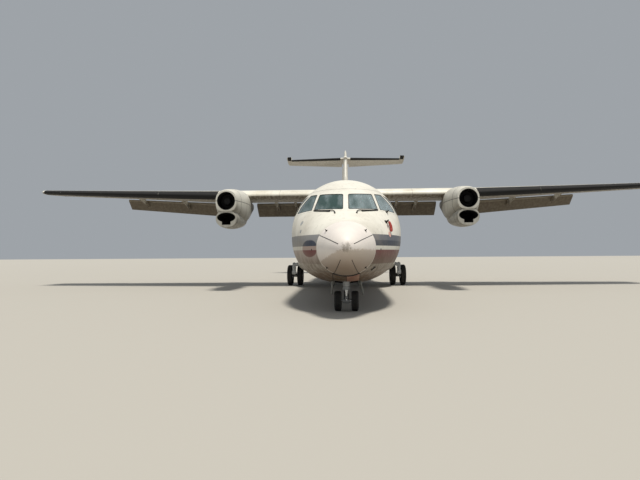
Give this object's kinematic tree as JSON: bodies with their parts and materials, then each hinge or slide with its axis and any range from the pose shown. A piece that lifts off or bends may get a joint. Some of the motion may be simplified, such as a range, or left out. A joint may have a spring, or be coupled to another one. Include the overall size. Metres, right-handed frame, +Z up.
{
  "type": "turboprop airliner",
  "caption": "High-wing T-tail regional airliner parked on its gear, flaps down, both propellers off; gear wheels, nose steering, flaps, control surfaces and doors move.",
  "frame": {"origin": "on the floor, under the middle of the whole aircraft", "axes": "+X to the aircraft's port side, -Y forward to the nose, +Z up"},
  "size_m": [24.57, 22.67, 7.59],
  "materials": {
    "white_paint": "satin",
    "grey_paint": "satin",
    "gear_paint": "satin",
    "flight_deck_glass": "gloss",
    "tyre_rubber": "matte",
    "wheel_alloy": "satin",
    "engine_metal": "satin",
    "exhaust_metal": "matte",
    "panel_plastic": "matte",
    "seat_cloth": "matte"
  },
  "bodies": {
    "airframe": {"radome": "white_paint", "nose_section": "white_paint", "forward_fuselage": "white_paint", "centre_fuselage": "white_paint", "rear_fuselage": "white_paint", "rear_baggage_section": "white_paint", "tail_section": "white_paint", "wing_fairing": "white_paint", "wing_centre": "white_paint", "wing_outer_left": "white_paint", "wing_outer_right": "white_paint", "nacelle_left": "white_paint", "nacelle_right": "white_paint", "engine_left": "engine_metal", "engine_right": "engine_metal", "exhaust_left": "exhaust_metal", "exhaust_right": "exhaust_metal", "fin": "white_paint", "stabilizer": "white_paint", "sponson_left": "white_paint", "sponson_right": "white_paint", "windscreen_left": "flight_deck_glass", "windscreen_right": "flight_deck_glass", "side_window_front_left": "flight_deck_glass", "side_window_front_right": "flight_deck_glass", "side_window_rear_left": "flight_deck_glass", "side_window_rear_right": "flight_deck_glass", "instrument_panel": "panel_plastic", "pilot_seat_left": "seat_cloth", "pilot_seat_right": "seat_cloth", "nose_gear_leg": "gear_paint", "nose_gear_door_left": "white_paint", "nose_gear_door_right": "white_paint", "nose_gear_door_shut_left": "white_paint", "nose_gear_door_shut_right": "white_paint", "main_gear_leg_left": "gear_paint", "main_gear_leg_right": "gear_paint", "service_door": "white_paint"},
    "nose_steering": {"nose_gear_steer": "gear_paint"},
    "nose_wheels": {"nose_wheel_hubs": "wheel_alloy", "nose_tyre_left": "tyre_rubber", "nose_tyre_right": "tyre_rubber"},
    "main_wheels_left": {"main_wheel_hubs_left": "wheel_alloy", "main_tyre_left_inner": "tyre_rubber", "main_tyre_left_outer": "tyre_rubber"},
    "main_wheels_right": {"main_wheel_hubs_right": "wheel_alloy", "main_tyre_right_inner": "tyre_rubber", "main_tyre_right_outer": "tyre_rubber"},
    "flap_inner_left": {"flap_inner_left": "grey_paint"},
    "flap_inner_right": {"flap_inner_right": "grey_paint"},
    "flap_outer_left": {"flap_outer_left": "grey_paint"},
    "flap_outer_right": {"flap_outer_right": "grey_paint"},
    "aileron_left": {"aileron_left": "white_paint"},
    "aileron_right": {"aileron_right": "white_paint"},
    "elevators": {"elevator_left": "white_paint", "elevator_right": "white_paint"},
    "rudder": {"rudder": "white_paint"},
    "cargo_door": {"cargo_door": "white_paint"},
    "passenger_door": {"passenger_door": "white_paint"}
  },
  "joints": [
    {"name": "nose_gear_steering", "type": "hinge", "parent": "airframe", "child": "nose_steering", "pos_m": [0, -9.635, 0.225], "axis": [0, 0, 1], "range_deg": [-60, 60]},
    {"name": "nose_wheel_spin", "type": "hinge", "parent": "nose_steering", "child": "nose_wheels", "pos_m": [0, -9.635, 0.225], "axis": [1, 0, 0], "continuous": true},
    {"name": "main_wheel_spin_left", "type": "hinge", "parent": "airframe", "child": "main_wheels_left", "pos_m": [2.05, -0.855, 0.406], "axis": [1, 0, 0], "continuous": true},
    {"name": "main_wheel_spin_right", "type": "hinge", "parent": "airframe", "child": "main_wheels_right", "pos_m": [-2.05, -0.855, 0.406], "axis": [1, 0, 0], "continuous": true},
    {"name": "flap_inner_left_hinge", "type": "hinge", "parent": "airframe", "child": "flap_inner_left", "pos_m": [1.72, -0.386, 3.20008], "axis": [1, 0, 0], "range_deg": [0, 45]},
    {"name": "flap_inner_right_hinge", "type": "hinge", "parent": "airframe", "child": "flap_inner_right", "pos_m": [-1.72, -0.386, 3.20008], "axis": [1, 0, 0], "range_deg": [0, 45]},
    {"name": "flap_outer_left_hinge", "type": "hinge", "parent": "airframe", "child": "flap_outer_left", "pos_m": [4.88, -0.38689, 3.20317], "axis": [0.9979, -0.0177, 0.0617], "range_deg": [0, 45]},
    {"name": "flap_outer_right_hinge", "type": "hinge", "parent": "airframe", "child": "flap_outer_right", "pos_m": [-4.88, -0.38689, 3.20317], "axis": [0.9979, 0.0177, -0.0617], "range_deg": [0, 45]},
    {"name": "aileron_left_hinge", "type": "hinge", "parent": "airframe", "child": "aileron_left", "pos_m": [9.255, -0.35146, 3.72065], "axis": [0.9988, -0.027, 0.0413], "range_deg": [-14, 14]},
    {"name": "aileron_right_hinge", "type": "hinge", "parent": "airframe", "child": "aileron_right", "pos_m": [-9.255, -0.35146, 3.72065], "axis": [0.9988, 0.027, -0.0413], "range_deg": [-14, 14]},
    {"name": "elevator_hinge", "type": "hinge", "parent": "airframe", "child": "elevators", "pos_m": [0, 10.465, 7.05], "axis": [1, 0, 0], "range_deg": [0, 38]},
    {"name": "rudder_hinge", "type": "hinge", "parent": "airframe", "child": "rudder", "pos_m": [0, 9.01341, 3.12], "axis": [0, 0.3293, 0.9442], "range_deg": [-42, 12]},
    {"name": "cargo_door_hinge", "type": "hinge", "parent": "airframe", "child": "cargo_door", "pos_m": [1.184, -6.25, 2.714], "axis": [0, -1, 0], "range_deg": [0, 100]},
    {"name": "passenger_door_hinge", "type": "hinge", "parent": "airframe", "child": "passenger_door", "pos_m": [1.13936, 4.22941, 1.334], "axis": [-0.2521, 0.9677, 0], "range_deg": [0, 130]}
  ],
  "couplings": [
    {"joint": "flap_inner_right_hinge", "follows": "flap_inner_left_hinge", "ratio": 1},
    {"joint": "flap_outer_left_hinge", "follows": "flap_inner_left_hinge", "ratio": 1},
    {"joint": "flap_outer_right_hinge", "follows": "flap_inner_left_hinge", "ratio": 1},
    {"joint": "aileron_right_hinge", "follows": "aileron_left_hinge", "ratio": -1}
  ]
}
